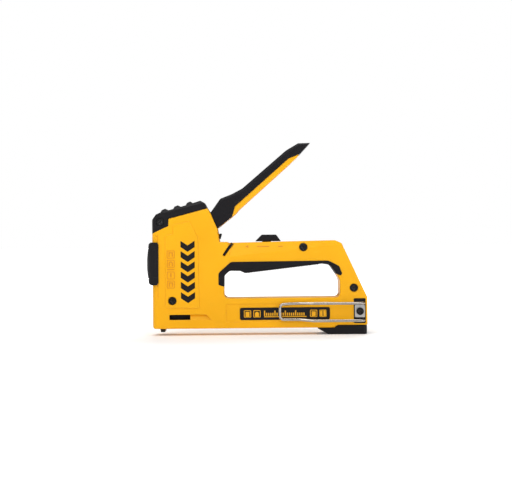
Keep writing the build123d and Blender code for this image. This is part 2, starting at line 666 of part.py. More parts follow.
def pusher_parts():
    front = STAPLE_REAR + 0.4
    over_rail = RAIL_HALF + 0.2
    with BuildPart(TOOL) as pusher:
        block((front, front + 14), (-5.35, 5.35), (STAPLE_LEG_Z, STAPLE_TOP))
        block((front - 1, front + 15), (-over_rail, over_rail), (0, RAIL_TOP + 0.2), Mode.SUBTRACT)
        block((front + 1, front + 11), (-1.0, 1.0), (15.5, RAIL_TOP + 0.6))
        block((front + 1, front + 11), (-3.2, 3.2), (10.3, 16.6))
        lengthwise((0, ROD_Z), 1.5, (front, front + 12), Mode.SUBTRACT)
    save(pusher, "staple_pusher")
    with BuildPart(TOOL) as rod_piece:
        lengthwise((0, ROD_Z), 1.1, (-70, 94))
    save(rod_piece, "pusher_rod")
    with BuildPart(TOOL) as spring:
        lengthwise((0, ROD_Z), 2.7, (front + 11, RAIL_REAR))
        lengthwise((0, ROD_Z), 1.9, (front + 11, RAIL_REAR), Mode.SUBTRACT)
    save(spring, "pusher_spring")


staple_channel()
staple_strip()
magazine_rail()
magazine_foot()
magazine_latch()
pusher_parts()


# ---- lever lock ----
def lever_lock():
    button = [(-1.4, 84.15, 0.3), (4.6, 90.2, 2.2), (17.8, 90.2, 2.2), (22.1, 84.15, 0.3)]
    with BuildPart(TOOL) as lock:
        both_sides(button, 6.0)
        for x in (6.5, 9.5, 12.5, 15.5):
            block((x - 0.5, x + 0.5), (-4.6, 4.6), (89.7, 91), Mode.SUBTRACT)
        block((5.0, 13.0), (-2.9, 2.9), (78.4, 85.0))
    save(lock, "lever_lock")
    with BuildPart(TOOL) as clip:
        block((2.0, 16.0), (-6.0, 6.0), (79.2, 80.6))
        block((5.0, 13.0), (-2.9, 2.9), (78, 82), Mode.SUBTRACT)
    save(clip, "lock_clip")


lever_lock()


# ---- belt hook ----
def belt_hook():
    """Bent wire: two legs that leave the housing, pinch towards it and flare at the front bar."""
    pinch, flare = 19.4, 21.6
    route = [
        (WIRE_REAR_X, -12.6, WIRE_UPPER_Z), (WIRE_REAR_X, -WIRE_OUT, WIRE_UPPER_Z),
        (50, -WIRE_OUT, WIRE_UPPER_Z + 0.2), (38, -pinch, WIRE_UPPER_Z + 0.3),
        (20.3, -flare, WIRE_UPPER_Z - 0.4), (20.3, -flare, WIRE_LOWER_Z + 1.5),
        (38, -pinch, WIRE_LOWER_Z + 1.2), (50, -WIRE_OUT, WIRE_LOWER_Z + 0.1),
        (WIRE_REAR_X, -WIRE_OUT, WIRE_LOWER_Z), (WIRE_REAR_X, -12.6, WIRE_LOWER_Z),
    ]
    with BuildPart() as hook:
        with BuildLine() as path:
            FilletPolyline(*[(x, y + MID, z) for x, y, z in route], radius=[2.6, 9, 9, 3.6, 3.6, 9, 9, 2.6])
        with BuildSketch(Plane(origin=path.line @ 0, z_dir=path.line % 0)):
            Circle(WIRE_R)
        sweep()
    save(hook, "belt_hook")


def hook_clamp():
    plate = [(87.6, 15.2, 0.8), (87.6, 26.2, 0.8), (96.6, 26.2, 0.8), (96.6, 15.2, 0.8)]
    backing = [(86.7, 10.0, 0.9), (86.7, 32.2, 0.9), (97.3, 32.2, 0.9), (97.3, 10.0, 0.9)]
    seat = SIDE - HOOK_DEPTH
    with BuildPart(TOOL) as pad:
        slab(backing, seat, seat + HOOK_PAD)
        rod(HOOK_SCREW, 1.8, (-SIDE - 2, -10), Mode.SUBTRACT)
        for z in (WIRE_UPPER_Z, WIRE_LOWER_Z):
            rod((WIRE_REAR_X, z), WIRE_R + 0.05, (-SIDE - 1, -12.4), Mode.SUBTRACT)
    save(pad, "hook_pad")
    with BuildPart(TOOL) as clamp:
        slab(plate, seat + HOOK_PAD, SIDE + 0.6)
        rod(HOOK_SCREW, 1.8, (-SIDE - 2, -10), Mode.SUBTRACT)
    save(clamp, "hook_clamp")
    with BuildPart(TOOL) as bolt:
        screw(HOOK_SCREW, -SIDE - 0.6, -10.2, 3.4, 1.6, 1.8)
    save(bolt, "hook_screw")
    with BuildPart(TOOL) as inserts:
        for y in ((-seat, -9.6), (9.6, seat)):
            rod(HOOK_SCREW, 2.6, y)
            rod(HOOK_SCREW, 1.65, y, Mode.SUBTRACT)
    save(inserts, "hook_inserts")


belt_hook()
hook_clamp()
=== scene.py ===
import json
import math

import bmesh
import bpy
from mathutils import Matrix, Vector


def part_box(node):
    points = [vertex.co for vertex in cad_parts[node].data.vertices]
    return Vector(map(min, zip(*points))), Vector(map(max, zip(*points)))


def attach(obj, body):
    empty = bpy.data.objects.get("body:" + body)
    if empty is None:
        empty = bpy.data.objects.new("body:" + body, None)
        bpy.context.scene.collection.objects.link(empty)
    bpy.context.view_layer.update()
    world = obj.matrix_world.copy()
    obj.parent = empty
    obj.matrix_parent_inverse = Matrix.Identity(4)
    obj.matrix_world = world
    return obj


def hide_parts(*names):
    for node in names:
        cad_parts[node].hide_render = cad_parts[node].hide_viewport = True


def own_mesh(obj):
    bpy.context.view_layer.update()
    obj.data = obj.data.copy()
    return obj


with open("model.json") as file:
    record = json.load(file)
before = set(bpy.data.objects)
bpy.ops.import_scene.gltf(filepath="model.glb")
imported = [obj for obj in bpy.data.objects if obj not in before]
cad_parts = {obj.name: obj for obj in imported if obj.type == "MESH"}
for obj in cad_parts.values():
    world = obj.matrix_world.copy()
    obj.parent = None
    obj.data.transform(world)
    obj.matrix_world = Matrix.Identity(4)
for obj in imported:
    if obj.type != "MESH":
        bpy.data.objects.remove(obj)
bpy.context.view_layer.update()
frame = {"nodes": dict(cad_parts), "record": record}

# Looks of a hand staple gun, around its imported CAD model. Metres, in the CAD frame: +X runs from
# the nose to the rear, -Y is the belt hook side, +Z is up. Helper lengths are in millimetres.

NODES = frame["nodes"]
MM = 0.001
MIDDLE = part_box("housing_left")[1].y            # plane where the two housing halves meet
PANEL_FACE = (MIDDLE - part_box("housing_left")[0].y) / MM   # raised head panel, from the middle
HEAD_FACE = (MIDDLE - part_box("top_cap")[0].y) / MM         # side face of the head and arm
LABEL_FLOOR = HEAD_FACE - 0.7                   # floor of the label's seat
SIDES = (("left", -1), ("right", 1))            # the hook side is the left one


def spot(x, y, z):
    """Point in metres from millimetres, with y measured from the middle of the tool."""
    return Vector((x * MM, MIDDLE + y * MM, z * MM))


# ---- camera, floor and light ----
PHOTO_WIDTH = 459.5      # millimetres of the tool's near face across the picture
AIM_X, AIM_Z = -0.5, 85.4
DISTANCE = 1150.0        # camera to the near face
ROLL = math.radians(0.55)
AMBIENT = 0.30           # white surroundings as the tool sees them; the camera sees them at 1


def add_camera():
    data = bpy.data.cameras.new("camera")
    data.sensor_width = 36.0
    data.lens = data.sensor_width * DISTANCE / PHOTO_WIDTH
    data.clip_start = 0.01
    camera = bpy.data.objects.new("camera", data)
    camera.location = spot(AIM_X, -HEAD_FACE - DISTANCE, AIM_Z)
    camera.rotation_euler = (math.pi / 2, ROLL, 0)
    bpy.context.scene.collection.objects.link(camera)
    bpy.context.scene.camera = camera


def add_light(name, place, aim, width, power, tint=(1.0, 1.0, 1.0)):
    data = bpy.data.lights.new(name, "AREA")
    data.shape = "SQUARE"
    data.size = width
    data.energy = power
    data.color = tint
    light = bpy.data.objects.new(name, data)
    light.location = place
    light.rotation_euler = (Vector(aim) - Vector(place)).to_track_quat("-Z", "Y").to_euler()
    bpy.context.scene.collection.objects.link(light)


def add_world():
    world = bpy.data.worlds.new("studio")
    world.use_nodes = True
    tree = world.node_tree
    shade = tree.nodes["Background"]
    shade.inputs["Color"].default_value = (1.0, 1.0, 1.0, 1.0)
    seen = tree.nodes.new("ShaderNodeLightPath").outputs["Is Camera Ray"]
    level = tree.nodes.new("ShaderNodeMapRange")
    level.inputs["To Min"].default_value = AMBIENT
    level.inputs["To Max"].default_value = 1.0
    tree.links.new(seen, level.inputs["Value"])
    tree.links.new(level.outputs["Result"], shade.inputs["Strength"])
    bpy.context.scene.world = world


# ---- procedural finishes ----
class Finish:
    """A Principled material built up from small node steps in object space."""

    def __init__(self, name, metallic=0.0, specular=0.5, coat=0.0):
        self.material = bpy.data.materials.new(name)
        self.material.use_nodes = True
        self.tree = self.material.node_tree
        self.shader = self.tree.nodes["Principled BSDF"]
        self.shader.inputs["Metallic"].default_value = metallic
        self.shader.inputs["Specular IOR Level"].default_value = specular
        self.shader.inputs["Coat Weight"].default_value = coat
        self.shader.inputs["Coat Roughness"].default_value = 0.15
        self.place = self.node("ShaderNodeTexCoord").outputs["Object"]
        self.round = None

    def node(self, kind, **values):
        """New node; values set its properties, or its inputs where the name starts with in_."""
        made = self.tree.nodes.new(kind)
        for key, value in values.items():
            if key.startswith("in_"):
                socket = key[3:].replace("_", " ")
                self.feed(made.inputs[int(socket) if socket.isdigit() else socket], value)
            else:
                setattr(made, key, value)
        return made

    def feed(self, socket, value):
        if isinstance(value, bpy.types.NodeSocket):
            self.tree.links.new(value, socket)
        elif socket.type == "RGBA" and len(value) == 3:
            socket.default_value = (*value, 1.0)
        else:
            socket.default_value = value

    def noise(self, scale, detail=3.0, stretch=(1, 1, 1)):
        """Smooth noise, 0 to 1, with its features about 1/scale metres across."""
        where = self.node("ShaderNodeMapping", in_Vector=self.place, in_Scale=stretch)
        noise = self.node("ShaderNodeTexNoise", in_Vector=where.outputs[0], in_Scale=scale, in_Detail=detail)
        return noise.outputs["Fac"]

    def cells(self, scale):
        """Rounded pebbles, as on spark-eroded tooling."""
        where = self.node("ShaderNodeTexVoronoi", in_Vector=self.place, in_Scale=scale)
        return where.outputs["Distance"]

    def spread(self, value, low, high, out_low=0.0, out_high=1.0):
        """Stretches a value from low..high to out_low..out_high, clamped."""
        span = self.node("ShaderNodeMapRange", in_Value=value)
        for key, number in (("From Min", low), ("From Max", high), ("To Min", out_low), ("To Max", out_high)):
            span.inputs[key].default_value = number
        return span.outputs["Result"]

    def times(self, a, b):
        return self.node("ShaderNodeMath", operation="MULTIPLY", in_0=a, in_1=b).outputs[0]

    def plus(self, a, b):
        return self.node("ShaderNodeMath", operation="ADD", in_0=a, in_1=b).outputs[0]

    def blend(self, amount, a, b):
        mix = self.node("ShaderNodeMix", data_type="RGBA")
        for socket, value in ((mix.inputs[0], amount), (mix.inputs[6], a), (mix.inputs[7], b)):
            self.feed(socket, value)
        return mix.outputs[2]

    def edges(self, width):
        """1 on outer and inner edges, falling to 0 within width millimetres."""
        soft = self.node("ShaderNodeBevel", samples=4)
        soft.inputs["Radius"].default_value = width * MM
        flat = self.node("ShaderNodeNewGeometry").outputs["Normal"]
        dot = self.node("ShaderNodeVectorMath", operation="DOT_PRODUCT")
        self.feed(dot.inputs[0], soft.outputs[0])
        self.feed(dot.inputs[1], flat)
        self.round = soft.outputs[0]
        return self.spread(dot.outputs["Value"], 0.995, 0.80)

    def finish(self, colour, roughness, *bumps):
        """Links colour and roughness, then stacks (height, depth in millimetres, strength) bumps."""
        self.feed(self.shader.inputs["Base Color"], colour)
        self.feed(self.shader.inputs["Roughness"], roughness)
        normal = self.round
        for height, depth, strength in bumps:
            bump = self.node("ShaderNodeBump", in_Height=height)
            bump.inputs["Distance"].default_value = depth * MM
            bump.inputs["Strength"].default_value = strength
            if normal is not None:
                self.feed(bump.inputs["Normal"], normal)
            normal = bump.outputs[0]
        self.feed(self.shader.inputs["Normal"], normal)
        return self.material


def tone(colour, factor):
    return tuple(min(1.0, c * factor) for c in colour)


def moulded(name, colour, rubbed, rough, grain, depth, specular=0.5, coat=0.0, edge=0.5):
    """Moulded plastic or rubber: mottled colour, rubbed edges, scuffs and a fine moulded grain."""
    f = Finish(name, specular=specular, coat=coat)
    wear = f.times(f.edges(edge), f.spread(f.noise(160.0), 0.38, 0.62))
    mottle = f.spread(f.noise(24.0, 4.0), 0.3, 0.7)
    scuffs = f.spread(f.noise(90.0, 6.0, (1, 1, 5)), 0.60, 0.74)
    base = f.blend(mottle, tone(colour, 0.95), tone(colour, 1.05))
    base = f.blend(f.times(scuffs, 0.12), base, rubbed)
    base = f.blend(f.times(wear, 0.55), base, rubbed)
    roughness = f.spread(f.noise(60.0, 5.0), 0.3, 0.7, rough - 0.06, rough + 0.07)
    roughness = f.plus(roughness, f.times(scuffs, 0.08))
    fine = f.plus(f.cells(grain), f.noise(grain * 1.7, 2.0))
    return f.finish(base, roughness, (fine, depth, 0.5), (f.noise(45.0, 2.0), 0.03, 0.25))


def metal(name, colour, rough, brush, brush_scale, bright, cloud, tint=None, edge=0.35):
    """Bare or plated steel: brushed or drawn lines, cloudy plating and brighter rubbed edges."""
    f = Finish(name, metallic=1.0)
    wear = f.times(f.edges(edge), f.spread(f.noise(220.0), 0.35, 0.6))
    lines = f.noise(brush_scale, 3.0, brush)
    clouds = f.spread(f.noise(110.0, 4.0), 0.35, 0.68)
    base = f.blend(clouds, tone(colour, 1.0 - cloud), tone(tint or colour, 1.0 + cloud))
    base = f.blend(f.spread(lines, 0.35, 0.65, 0.0, 0.35), base, tone(colour, 0.72))
    base = f.blend(f.times(wear, 0.7), base, tone(colour, bright))
    roughness = f.plus(f.spread(lines, 0.3, 0.7, rough - 0.05, rough + 0.08), f.times(clouds, 0.06))
    return f.finish(base, roughness, (lines, 0.02, 0.35), (f.noise(300.0, 3.0), 0.02, 0.25))


def coated(name, colour, bare, rough):
    """Black oxide or paint on steel, worn through to the metal on its edges."""
    f = Finish(name, metallic=0.35, specular=0.25)
    wear = f.times(f.edges(0.4), f.spread(f.noise(260.0, 4.0), 0.42, 0.6))
    speck = f.spread(f.noise(700.0, 3.0), 0.35, 0.7)
    base = f.blend(speck, tone(colour, 0.8), tone(colour, 1.5))
    base = f.blend(f.times(wear, 0.6), base, bare)
    roughness = f.spread(f.noise(180.0, 4.0), 0.3, 0.7, rough - 0.08, rough + 0.1)
    return f.finish(base, roughness, (speck, 0.015, 0.4))


def cast(name, colour, rough):
    """Sintered block: open grain with dark pores and burnished edges."""
    f = Finish(name, metallic=0.9)
    wear = f.times(f.edges(0.5), f.spread(f.noise(200.0), 0.4, 0.6))
    pores = f.spread(f.cells(900.0), 0.12, 0.4)
    base = f.blend(pores, tone(colour, 0.45), colour)
    base = f.blend(f.times(wear, 0.7), base, tone(colour, 2.2))
    roughness = f.spread(f.noise(150.0, 4.0), 0.3, 0.7, rough - 0.08, rough + 0.08)
    return f.finish(base, roughness, (pores, 0.05, 0.5))


YELLOW = (0.875, 0.415, 0.002)
YELLOW_RUBBED = (1.0, 0.58, 0.04)
BLACK = (0.0060, 0.0053, 0.0070)
BLACK_RUBBED = (0.045, 0.044, 0.048)

FINISHES = {
    "yellow_housing": moulded("yellow_housing", YELLOW, YELLOW_RUBBED, 0.36, 1500.0, 0.012, 0.24, 0.0, 0.5),
    "yellow_lever": moulded("yellow_lever", YELLOW, YELLOW_RUBBED, 0.30, 2300.0, 0.006, 0.28, 0.15, 0.4),
    "black_plastic": moulded("black_plastic", BLACK, BLACK_RUBBED, 0.38, 1500.0, 0.02, 0.20, 0.0, 0.5),
    "black_knob": moulded("black_knob", BLACK, BLACK_RUBBED, 0.34, 1900.0, 0.015, 0.20, 0.0, 0.6),
    "black_grip": moulded("black_grip", BLACK, BLACK_RUBBED, 0.42, 1300.0, 0.03, 0.18, 0.0, 0.7),
    "rubber_grip": moulded("rubber_grip", BLACK, BLACK_RUBBED, 0.60, 1100.0, 0.05, 0.18, 0.0, 0.6),
    "rubber_pad": moulded("rubber_pad", (0.03, 0.03, 0.03), BLACK_RUBBED, 0.7, 900.0, 0.04, 0.3, 0.0, 0.5),
    "dark_steel": coated("dark_steel", (0.012, 0.012, 0.013), (0.35, 0.35, 0.36), 0.4),
    "zinc_steel": metal(
        "zinc_steel", (0.50, 0.51, 0.53), 0.30, (1, 6, 6), 500.0, 1.4, 0.14, (0.52, 0.50, 0.46),
    ),
    "bright_steel": metal("bright_steel", (0.60, 0.60, 0.61), 0.20, (1, 14, 14), 400.0, 1.3, 0.06),
    "staple_wire": metal("staple_wire", (0.62, 0.63, 0.66), 0.25, (10, 1, 1), 500.0, 1.3, 0.10),
    "cast_block": cast("cast_block", (0.17, 0.17, 0.18), 0.45),
    "spring_steel": metal(
        "spring_steel", (0.16, 0.16, 0.18), 0.28, (1, 1, 1), 700.0, 2.4, 0.15, (0.17, 0.15, 0.14),
    ),
    "brass_parts": metal("brass_parts", (0.66, 0.44, 0.16), 0.24, (1, 20, 1), 400.0, 1.3, 0.08),
    "hook_wire": metal("hook_wire", (0.46, 0.43, 0.39), 0.18, (12, 12, 12), 60.0, 1.3, 0.10, edge=0.2),
}
# Printed colours, and one darker amber that is painted shade for raised marks
PRINTS_AND_PAINTED_SHADE = {
    "black": moulded("print_black", (0.006, 0.005, 0.006), BLACK_RUBBED, 0.34, 2600.0, 0.004, 0.20, 0.0, 0.1),
    # amber: painted shade, a darker amber standing in for the shading around the raised head icons and lock
    # marks
    "amber": moulded("amber_painted_shade", (0.68, 0.26, 0.003), YELLOW, 0.40, 2600.0, 0.004, 0.35, 0.0, 0.2),
    "yellow": moulded("print_yellow", YELLOW, YELLOW_RUBBED, 0.40, 2600.0, 0.004, 0.35, 0.0, 0.1),
}


def finish_cad():
    """Every CAD piece takes the procedural finish of its own slot."""
    for part in frame["record"]["subparts"]:
        node = NODES[part["node"]]
        for slot in node.material_slots:
            slot.material = FINISHES[part["material_slot"]]


# ---- mesh helpers ----
def rounded(corners, steps=5):
    """Side-view outline with its corners rounded, from (x, z, radius)."""
    points = []
    count = len(corners)
    for i, (x, z, radius) in enumerate(corners):
        here = Vector((x, z))
        if radius <= 0:
            points.append((x, z))
            continue
        before = (Vector(corners[i - 1][:2]) - here).normalized()
        after = (Vector(corners[(i + 1) % count][:2]) - here).normalized()
        half = before.angle(after) / 2
        reach = radius / math.tan(half)
        centre = here + (before + after).normalized() * radius / math.sin(half)
        start = here + before * reach - centre
        turn = start.angle_signed(here + after * reach - centre)
        for k in range(steps + 1):
            a = -turn * k / steps
            points.append((
                centre.x + start.x * math.cos(a) - start.y * math.sin(a),
                centre.y + start.x * math.sin(a) + start.y * math.cos(a),
            ))
    return points


def box_outline(x0, z0, x1, z1, radius):
    return rounded([(x0, z0, radius), (x1, z0, radius), (x1, z1, radius), (x0, z1, radius)])


def prism(bm, outline, low, high):
    """Side-view outline as a solid between two distances from the middle."""
    rings = [[bm.verts.new(spot(x, y, z)) for x, z in outline] for y in (low, high)]
    bm.faces.new(rings[0])
    bm.faces.new(list(reversed(rings[1])))
    for i in range(len(outline)):
        j = (i + 1) % len(outline)
        bm.faces.new((rings[0][j], rings[0][i], rings[1][i], rings[1][j]))


def frame_prism(bm, outer, inner, low, high):
    """Closed outline ring with a hole, both outlines with as many points as each other."""
    loops = [
        [bm.verts.new(spot(x, y, z)) for x, z in outline]
        for outline in (outer, inner) for y in (low, high)
    ]
    for a, b in ((0, 1), (1, 3), (3, 2), (2, 0)):
        for i in range(len(outer)):
            j = (i + 1) % len(outer)
            bm.faces.new((loops[a][i], loops[a][j], loops[b][j], loops[b][i]))


def tube(bm, points, radius, sides=10):
    """Closed round wire through the points."""
    rings = []
    previous = None
    for i, point in enumerate(points):
        ahead = (points[min(i + 1, len(points) - 1)] - points[max(i - 1, 0)]).normalized()
        guide = previous or Vector((0.3, 0.5, 0.8))
        across = (guide - ahead * guide.dot(ahead)).normalized()
        previous = across
        up = ahead.cross(across)
        rings.append([
            bm.verts.new(point + (across * math.cos(a) + up * math.sin(a)) * radius)
            for a in (2 * math.pi * k / sides for k in range(sides))
        ])
    for one, two in zip(rings, rings[1:]):
        for i in range(sides):
            j = (i + 1) % sides
            bm.faces.new((one[i], one[j], two[j], two[i]))
    bm.faces.new(list(reversed(rings[0])))
    bm.faces.new(rings[-1])


def piece(name, bm, material, body, bevel=0.0, smooth=False):
    """Turns a mesh under construction into an object that rides on a body."""
    bmesh.ops.recalc_face_normals(bm, faces=bm.faces)
    mesh = bpy.data.meshes.new(name)
    bm.to_mesh(mesh)
    bm.free()
    made = bpy.data.objects.new(name, mesh)
    bpy.context.scene.collection.objects.link(made)
    mesh.materials.append(material)
    if smooth:
        for face in mesh.polygons:
            face.use_smooth = True
    if bevel:
        cut = made.modifiers.new("bevel", "BEVEL")
        cut.width = bevel * MM
        cut.segments = 2
        cut.limit_method = "ANGLE"
    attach(made, body)
    return made


# ---- springs and staples ----
MAIN_WIRE, MAIN_TURNS = 0.85, 13        # wire radius in millimetres, and turns
PUSHER_WIRE, PUSHER_TURNS = 0.3, 24
CLOSED_TURNS = 1.5                      # at each end of a spring
STAPLE_PITCH, STAPLE_GAP = 0.72, 0.05
STAPLE_WIRE, STAPLE_BEND = 0.6, 0.5


def helix(centre, axis, side, radius, length, turns, closed, per_turn=20):
    """Points of a compression spring: its end coils lie closed, the middle ones are open."""
    up = axis.cross(side)
    steps = int(turns * per_turn)
    points = []
    travel = [0.0]
    for i in range(steps):
        turn = i / per_turn
        end = min(turn, turns - turn)
        travel.append(travel[-1] + (0.35 if end < closed else 1.0))
    for i in range(steps + 1):
        a = 2 * math.pi * i / per_turn
        along = length * travel[i] / travel[-1]
        points.append(centre + axis * along + (side * math.cos(a) + up * math.sin(a)) * radius)
    return points


def add_main_spring():
    low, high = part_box("main_spring")
    wire = MAIN_WIRE * MM
    middle = (low + high) / 2
    start = Vector((middle.x, middle.y, low.z + wire))
    radius = (high.x - low.x) / 2 - wire
    bm = bmesh.new()
    length = high.z - low.z - 2 * wire
    upward, sideways = Vector((0, 0, 1)), Vector((1, 0, 0))
    tube(bm, helix(start, upward, sideways, radius, length, MAIN_TURNS, CLOSED_TURNS), wire)
    spring = piece("main_spring_coil", bm, FINISHES["spring_steel"], "body", smooth=True)
    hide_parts("main_spring")
    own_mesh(spring)


def add_pusher_spring():
    low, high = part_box("pusher_spring")
    wire = PUSHER_WIRE * MM
    middle = (low + high) / 2
    start = Vector((low.x + wire, middle.y, middle.z))
    radius = (high.z - low.z) / 2 - wire
    bm = bmesh.new()
    length = high.x - low.x - 2 * wire
    route = helix(start, Vector((1, 0, 0)), Vector((0, 1, 0)), radius, length, PUSHER_TURNS, CLOSED_TURNS, 16)
    tube(bm, route, wire, 8)
    spring = piece(
        "pusher_spring_coil", bm, FINISHES["spring_steel"], "magazine", smooth=True,
    )
    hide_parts("pusher_spring")
    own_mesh(spring)


def add_staples():
    """One strip of flat-crown staples, each a bent wire with a hairline to the next."""
    low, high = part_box("staple_strip")
    pitch, gap, wire = STAPLE_PITCH * MM, STAPLE_GAP * MM, STAPLE_WIRE * MM
    count = int((high.x - low.x) / pitch)
    half = (high.y - low.y) / 2
    middle = (high.y + low.y) / 2
    bend = STAPLE_BEND * MM
    outer = [(-half, low.z), (-half, high.z - bend), (-half + bend, high.z)]
    inner = [(-half + wire, low.z), (-half + wire, high.z - wire)]
    profile = outer + [(-y, z) for y, z in reversed(outer)]
    profile += [(-y, z) for y, z in inner] + list(reversed(inner))
    bm = bmesh.new()
    for k in range(count):
        x0 = low.x + k * pitch
        ends = [[bm.verts.new((x, middle + y, z)) for y, z in profile] for x in (x0, x0 + pitch - gap)]
        bm.faces.new(ends[0])
        bm.faces.new(list(reversed(ends[1])))
        for i in range(len(profile)):
            j = (i + 1) % len(profile)
            bm.faces.new((ends[0][j], ends[0][i], ends[1][i], ends[1][j]))
    strip = piece("staple_row", bm, FINISHES["staple_wire"], "body")
    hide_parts("staple_strip")


# ---- printed marks, and embossed marks coloured with painted shade ----
def flat_staple(x, z, width, height, stroke):
    """Outline of a flat-crown staple."""
    w, h = width / 2, height / 2
    half = [(-w, -h), (-w, h), (w, h), (w, -h), (w - stroke, -h), (w - stroke, h - stroke)]
    half += [(-w + stroke, h - stroke), (-w + stroke, -h)]
    return [(x + a, z + b) for a, b in half]


def round_staple(x, z, width, height, stroke, steps=8):
    """Outline of a round-crown cable staple."""
    def arch(radius):
        top = height / 2 - width / 2
        return [
            (radius * math.cos(math.pi * k / steps), top + radius * math.sin(math.pi * k / steps))
            for k in range(steps + 1)
        ]
    outer = [(width / 2, -height / 2)] + arch(width / 2) + [(-width / 2, -height / 2)]
    inside = width / 2 - stroke
    inner = [(-inside, -height / 2)] + list(reversed(arch(inside))) + [(inside, -height / 2)]
    return [(x + a, z + b) for a, b in outer + inner]


def brad(x, z, height, stroke):
    """Outline of a plain brad nail with its point."""
    h, s = height / 2, stroke / 2
    return [(x, z - h), (x - s, z - h + stroke), (x - s, z + h), (x + s, z + h), (x + s, z - h + stroke)]


LABEL = (-15.5, 13.6, 65.2, 24.6)
LABEL_CORNER = 1.6
LABEL_THICK = (0.02, 0.30)    # bottom and top of the label over its seat
LABEL_ICONS = ((-8.75, "flat"), (-0.25, "round"), (50.65, "flat"), (59.0, "brad"))
ICON_Z = (15.9, 22.3)
SCALE_X = (6.6, 43.8)
SCALE_STEP = 1.86
SCALE_BASE = (16.0, 16.75)
TICK_FOOT = 17.2
TICK_TOPS = (19.9, 21.9)      # plain ticks, and every fifth one
TICK_HALF = 0.5
ICON_LINE = 0.6
ICON_GAP = 0.85


def icon_frame(bm, x, z0, z1, line, low, high):
    """Square frame of an icon with rounded corners; gives half its width."""
    half = (z1 - z0) / 2
    outer = box_outline(x - half, z0, x + half, z1, 0.7)
    inner = box_outline(x - half + line, z0 + line, x + half - line, z1 - line, 0.25)
    frame_prism(bm, outer, inner, low, high)
    return half


def label_icon(bm, x, z0, z1, kind, low, high):
    """Framed block whose black gap is the outline of a fastener."""
    half = icon_frame(bm, x, z0, z1, ICON_LINE, low, high)
    reach = half - ICON_LINE - ICON_GAP
    overlap = ICON_LINE * 0.5
    base = z0 + overlap
    if kind == "brad":
        for x0, x1 in ((x - half + overlap, x - ICON_GAP / 2), (x + ICON_GAP / 2, x + half - overlap)):
            prism(bm, box_outline(x0, base, x1, z1 - overlap, 0.15), low, high)
        return
    radius = reach * 0.98 if kind == "round" else 0.2
    top = z1 - ICON_LINE - ICON_GAP
    block = [
        (x - reach, base, 0.1), (x + reach, base, 0.1), (x + reach, top, radius),
        (x - reach, top, radius),
    ]
    prism(bm, rounded(block), low, high)


def head_icon(bm, x, z0, z1, kind, low, high):
    """Framed outline of a fastener."""
    half = icon_frame(bm, x, z0, z1, HEAD_LINE, low, high)
    middle = (z0 + z1) / 2
    size = 2 * half - 2 * HEAD_LINE - 2 * HEAD_INSIDE
    if kind == "flat":
        outline = flat_staple(x, middle, size * 0.82, size * 0.86, STAPLE_STROKE)
    elif kind == "round":
        outline = round_staple(x, middle, size * 0.82, size * 0.92, STAPLE_STROKE)
    else:
        outline = brad(x, middle, size * 0.92, BRAD_STROKE)
    prism(bm, outline, low, high)


def add_labels():
    """Black label set in its seat, with fastener icons and a plain scale of tick marks."""
    for name, side in SIDES:
        low, high = sorted(side * (LABEL_FLOOR + height) for height in LABEL_THICK)
        bm = bmesh.new()
        prism(bm, box_outline(*LABEL, LABEL_CORNER), low, high)
        piece("label_" + name, bm, PRINTS_AND_PAINTED_SHADE["black"], "body", bevel=0.08)
        face = side * (LABEL_FLOOR + LABEL_THICK[1])
        low, high = sorted((face - side * 0.02, face + side * 0.04))
        bm = bmesh.new()
        for x, kind in LABEL_ICONS:
            label_icon(bm, x, *ICON_Z, kind, low, high)
        ticks = int((SCALE_X[1] - SCALE_X[0]) / SCALE_STEP)
        for k in range(ticks + 1):
            x = SCALE_X[0] + k * SCALE_STEP
            top = TICK_TOPS[1] if k % 5 == 0 else TICK_TOPS[0]
            prism(bm, box_outline(x - TICK_HALF, TICK_FOOT, x + TICK_HALF, top, 0.15), low, high)
        base = (SCALE_X[0] - 0.42, SCALE_BASE[0], SCALE_X[1] + 0.4, SCALE_BASE[1])
        prism(bm, box_outline(*base, 0.15), low, high)
        piece("label_marks_" + name, bm, PRINTS_AND_PAINTED_SHADE["yellow"], "body")


CHEVRON_X = (-68.3, -55.6)
CHEVRON_Z = (29.4, 84.6)
CHEVRONS = 6
CHEVRON_THICK = 0.62     # of the pitch
CHEVRON_DROP = 0.46


def add_head_marks():
    """Column of plain black chevrons on the head panel, pointing down."""
    pitch = (CHEVRON_Z[1] - CHEVRON_Z[0]) / CHEVRONS
    thick = pitch * CHEVRON_THICK
    drop = pitch * CHEVRON_DROP
    x0, x1 = CHEVRON_X
    middle = (x0 + x1) / 2
    for name, side in SIDES:
        face = side * PANEL_FACE
        low, high = sorted((face - side * 0.03, face + side * 0.05))
        bm = bmesh.new()
        for k in range(CHEVRONS):
            z = CHEVRON_Z[0] + k * pitch + drop
            corners = [
                (x0, z, 0.25), (middle, z - drop, 0.3), (x1, z, 0.25), (x1, z + thick, 0.25),
                (middle, z + thick - drop, 0.3), (x0, z + thick, 0.25),
            ]
            prism(bm, rounded(corners, 3), low, high)
        piece("head_chevrons_" + name, bm, PRINTS_AND_PAINTED_SHADE["black"], "body")


HEAD_ICON_X = -77.2
HEAD_ICONS = ((69.6, 76.6, "flat"), (61.4, 68.2, "round"), (50.9, 57.7, "brad"), (42.7, 49.5, "flat"))
HEAD_DASH_Z = 59.6
HEAD_LINE = 0.5          # frame line of a head icon
HEAD_INSIDE = 0.7        # space between the frame and the fastener in it
STAPLE_STROKE = 0.85
BRAD_STROKE = 1.2


